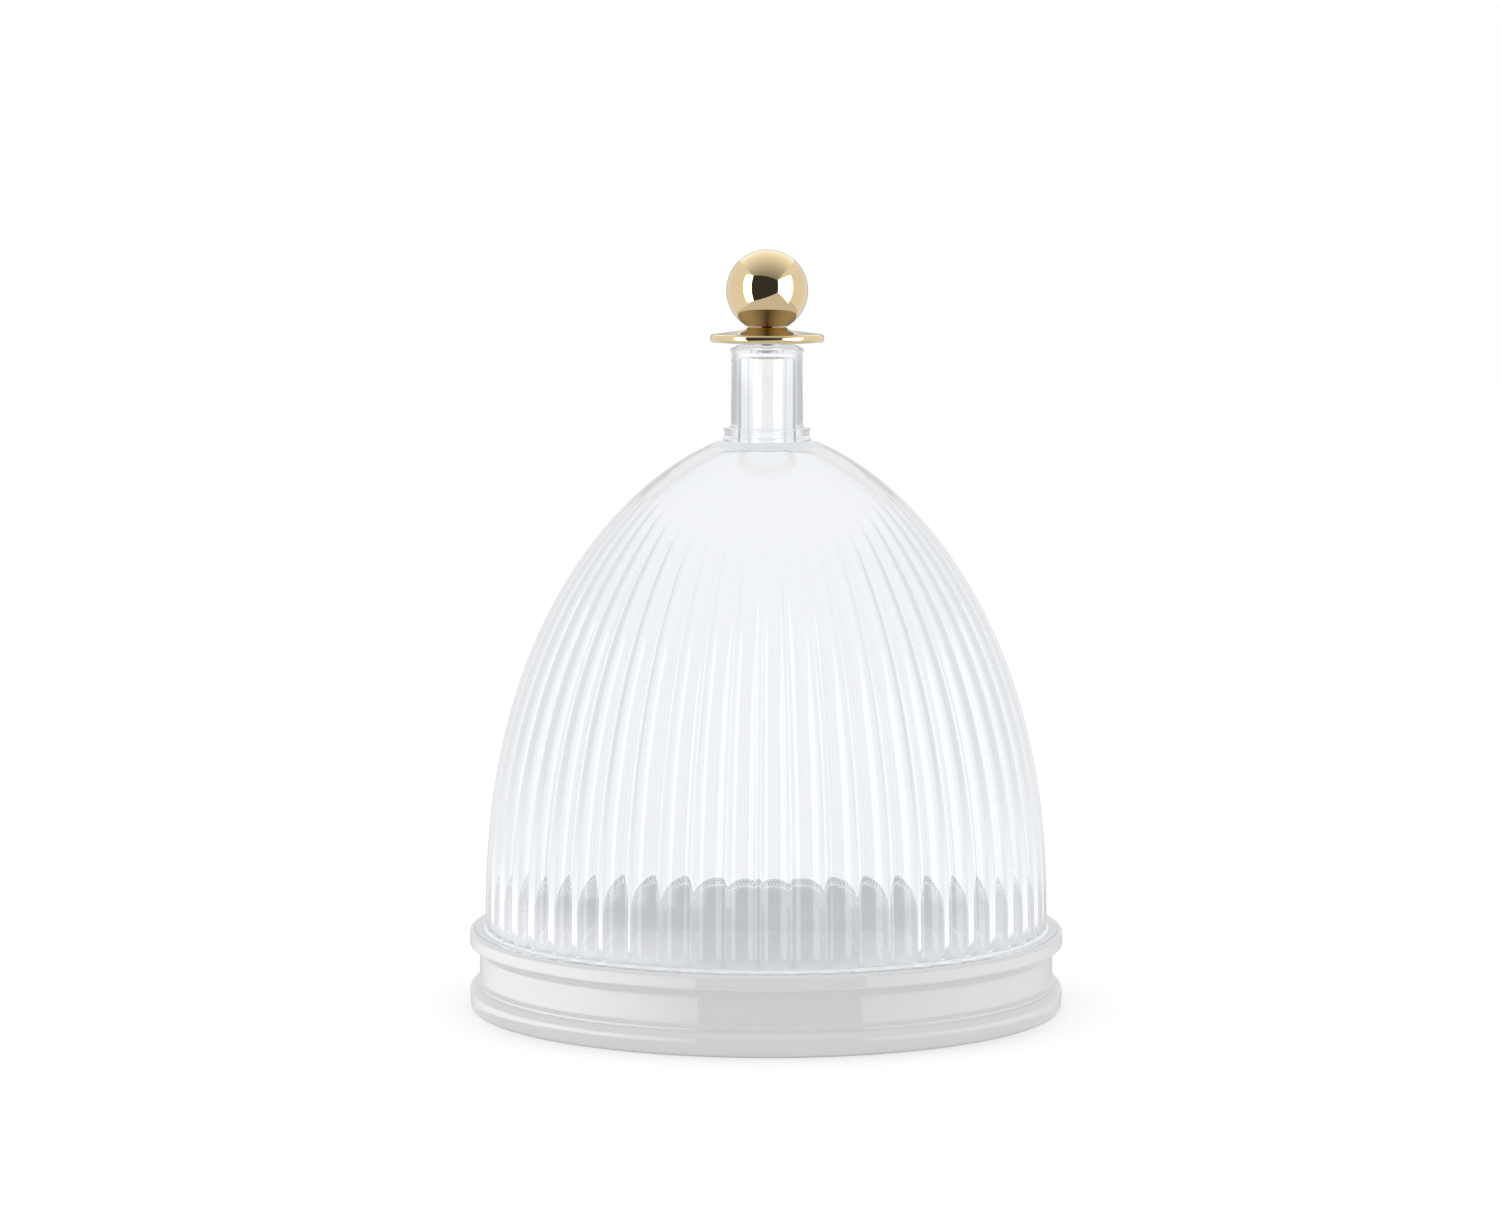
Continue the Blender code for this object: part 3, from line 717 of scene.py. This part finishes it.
def inside_panel(corners):
    """A socket that gives 1 for directions inside the panel: on the inner side of each of its edges."""
    inside = None
    spots = [toward(*corner) for corner in corners]
    for here, after in zip(spots, spots[1:] + spots[:1]):
        edge = add_node(tree, "VectorMath", {"operation": "DOT_PRODUCT"},
                        {0: place, 1: after.cross(here)}).outputs["Value"]
        side = add_node(tree, "Math", {"operation": "GREATER_THAN"}, {0: edge, 1: 0.0}).outputs[0]
        if inside is None:
            inside = side
        else:
            inside = add_node(tree, "Math", {"operation": "MULTIPLY"}, {0: inside, 1: side}).outputs[0]
    return inside


world = bpy.data.worlds.new("light_tent")
bpy.context.scene.world = world
world.use_nodes = True
tree = world.node_tree
tree.nodes.clear()
place = add_node(tree, "TexCoord", {}, {}).outputs["Generated"]
axis = add_node(tree, "SeparateXYZ", {}, {0: place}).outputs
aside = add_node(tree, "Math", {"operation": "ABSOLUTE"}, {0: axis["X"]}).outputs[0]
path = add_node(tree, "LightPath", {}, {}).outputs

# The tent itself: walls and ceiling, then the panels over them
slant = add_node(tree, "Math", {"operation": "MULTIPLY"}, {0: axis["Z"], 1: CEILING_REACH}).outputs[0]
overhead = add_node(tree, "Math", {"operation": "LESS_THAN"}, {0: aside, 1: slant}).outputs[0]
ceiling = add_node(tree, "Math", {"operation": "MULTIPLY_ADD"},
                   {0: axis["Y"], 1: CEILING_RISE, 2: CEILING_LEVEL}).outputs[0]
level = add_node(tree, "Mix", {}, {0: overhead, 2: WALL_LEVEL, 3: ceiling}).outputs[0]
behind = add_node(tree, "MapRange", {"interpolation_type": "SMOOTHSTEP"},
                  {"Value": axis["Y"], "From Min": BEHIND[0], "From Max": BEHIND[1],
                   "To Min": 1.0, "To Max": BEHIND_SHARE}).outputs[0]
level = add_node(tree, "Math", {"operation": "MULTIPLY"}, {0: level, 1: behind}).outputs[0]
soft_level = add_node(tree, "Math", {"operation": "MINIMUM"}, {0: level, 1: SOFT_MOST}).outputs[0]
level = add_node(tree, "Mix", {}, {0: path["Is Singular Ray"], 2: soft_level, 3: level}).outputs[0]
for brightness, corners in (SWEEP, LEFT_WINDOW, RIGHT_WINDOW, CAMERA_OPENING):
    level = add_node(tree, "Mix", {}, {0: inside_panel(corners), 2: level, 3: brightness}).outputs[0]

# The glow in the plastics' outer faces
square = add_node(tree, "Math", {"operation": "MULTIPLY"}, {0: axis["X"], 1: axis["X"]}).outputs[0]
rightward = add_node(tree, "Math", {"operation": "GREATER_THAN"}, {0: axis["X"], 1: 0.0}).outputs[0]
peak = add_node(tree, "Mix", {}, {0: rightward, 2: BOX_LEFT, 3: BOX_RIGHT}).outputs[0]
box = add_node(tree, "Math", {"operation": "MULTIPLY_ADD"}, {0: square, 1: peak, 2: BOX_LEVEL}).outputs[0]
forward = add_node(tree, "Math", {"operation": "MULTIPLY_ADD"},
                   {0: axis["Y"], 1: -BOX_FORWARD, 2: 1.0}).outputs[0]
box = add_node(tree, "Math", {"operation": "MULTIPLY"}, {0: box, 1: forward}).outputs[0]
opening_level, opening_corners = LOW_OPENING
box = add_node(tree, "Mix", {}, {0: inside_panel(opening_corners), 2: box, 3: opening_level}).outputs[0]
box_share = add_node(tree, "MapRange", {"interpolation_type": "SMOOTHSTEP"},
                     {"Value": axis["Z"], "From Min": BOX_FADE[0], "From Max": BOX_FADE[1],
                      "To Min": 1.0, "To Max": 0.0}).outputs[0]
over_bottom = add_node(tree, "Math", {"operation": "GREATER_THAN"}, {0: axis["Z"], 1: BOX_BOTTOM}).outputs[0]
box_share = add_node(tree, "Math", {"operation": "MULTIPLY"}, {0: box_share, 1: over_bottom}).outputs[0]
glow = add_node(tree, "Mix", {}, {0: box_share, 2: EVEN_GLOSS, 3: box}).outputs[0]

# The gold's mirror and the inner faces of the acrylic take the tent itself, and the plastics' outer faces
# that glow. Light that was mirrored twice takes what is left.
tent_share = add_node(tree, "Math", {"operation": "MAXIMUM"},
                      {0: path["Is Singular Ray"], 1: path["Transmission Depth"]}).outputs[0]
level = add_node(tree, "Mix", {"clamp_factor": True}, {0: tent_share, 2: glow, 3: level}).outputs[0]
left_over = add_node(tree, "Math", {"operation": "MULTIPLY_ADD"},
                     {0: aside, 1: TWICE_SIDE, 2: TWICE_MIDDLE}).outputs[0]
left_over = add_node(tree, "Mix", {}, {0: path["Is Singular Ray"], 2: TWICE_PLASTIC, 3: left_over}).outputs[0]
twice = add_node(tree, "Math", {"operation": "GREATER_THAN"}, {0: path["Glossy Depth"], 1: TWICE}).outputs[0]
level = add_node(tree, "Mix", {}, {0: twice, 2: level, 3: left_over}).outputs[0]

# What isn't mirrored sees the backdrop: through the acrylic, or plain white from the camera
near_share = add_node(tree, "MapRange", {"interpolation_type": "SMOOTHSTEP"},
                      {"Value": aside, "From Min": TO_NEAR[0], "From Max": TO_NEAR[1],
                       "To Min": 0.0, "To Max": 1.0}).outputs[0]
backdrop = add_node(tree, "Mix", {"data_type": "RGBA"},
                    {0: near_share, 6: linear(BACKDROP), 7: linear(BACKDROP_NEAR)}).outputs[2]
far_share = add_node(tree, "MapRange", {"interpolation_type": "SMOOTHSTEP"},
                     {"Value": aside, "From Min": TO_FAR[0], "From Max": TO_FAR[1],
                      "To Min": 0.0, "To Max": 1.0}).outputs[0]
backdrop = add_node(tree, "Mix", {"data_type": "RGBA"},
                    {0: far_share, 6: backdrop, 7: linear(BACKDROP_FAR)}).outputs[2]
backdrop = add_node(tree, "Mix", {"data_type": "RGBA"},
                    {0: path["Is Camera Ray"], 6: backdrop, 7: linear("FFFFFF")}).outputs[2]
mirrored = add_node(tree, "Math", {"operation": "GREATER_THAN"},
                    {0: path["Glossy Depth"], 1: ONCE}).outputs[0]
seen = add_node(tree, "Mix", {"data_type": "RGBA"}, {0: mirrored, 6: backdrop, 7: level}).outputs[2]

# Matt surfaces get a soft light
soft = add_node(tree, "Math", {"operation": "MULTIPLY_ADD"},
                {0: axis["Z"], 1: TOP_LIGHT, 2: LOW_LIGHT}).outputs[0]
soft = add_node(tree, "Math", {"operation": "MULTIPLY_ADD"},
                {0: axis["X"], 1: -LEFT_LIGHT, 2: soft}).outputs[0]
soft = add_node(tree, "Math", {"operation": "MULTIPLY_ADD"}, {0: aside, 1: SIDE_LIGHT, 2: soft}).outputs[0]
soft = add_node(tree, "Math", {"operation": "MAXIMUM"}, {0: soft, 1: 0.0}).outputs[0]
scattered = add_node(tree, "Math", {"operation": "GREATER_THAN"},
                     {0: path["Diffuse Depth"], 1: ONCE}).outputs[0]
colour = add_node(tree, "Mix", {"data_type": "RGBA"}, {0: scattered, 6: seen, 7: soft}).outputs[2]
background = add_node(tree, "Background", {}, {"Color": colour, "Strength": 1.0})
output = tree.nodes.new("ShaderNodeOutputWorld")
tree.links.new(background.outputs[0], output.inputs[0])

# Light has to cross the acrylic many times before it leaves a ridge, and it isn't blurred on the way
MOST_BOUNCES = 32
settings = bpy.context.scene.cycles
settings.max_bounces = MOST_BOUNCES
settings.glossy_bounces = MOST_BOUNCES
settings.transmission_bounces = MOST_BOUNCES
settings.blur_glossy = 0.0
bpy.context.scene.view_settings.view_transform = "Standard"

# Camera. It stands where the photograph was taken from: 1.6 m in front, a little over the ball, tipped down
# and with a hair of roll, as the base shows.
CAMERA_LENS = 105.0
SENSOR_WIDTH = 36.0
CAMERA_PLACE = (-0.00636, -1.612, 0.2912)
CAMERA_TIP = math.radians(84.95)
CAMERA_ROLL = math.radians(-0.08)
camera = bpy.data.objects.new("camera", bpy.data.cameras.new("camera"))
camera.data.lens = CAMERA_LENS
camera.data.sensor_width = SENSOR_WIDTH
camera.location = CAMERA_PLACE
camera.rotation_euler = (CAMERA_TIP, CAMERA_ROLL, 0.0)
bpy.context.scene.collection.objects.link(camera)
bpy.context.scene.camera = camera
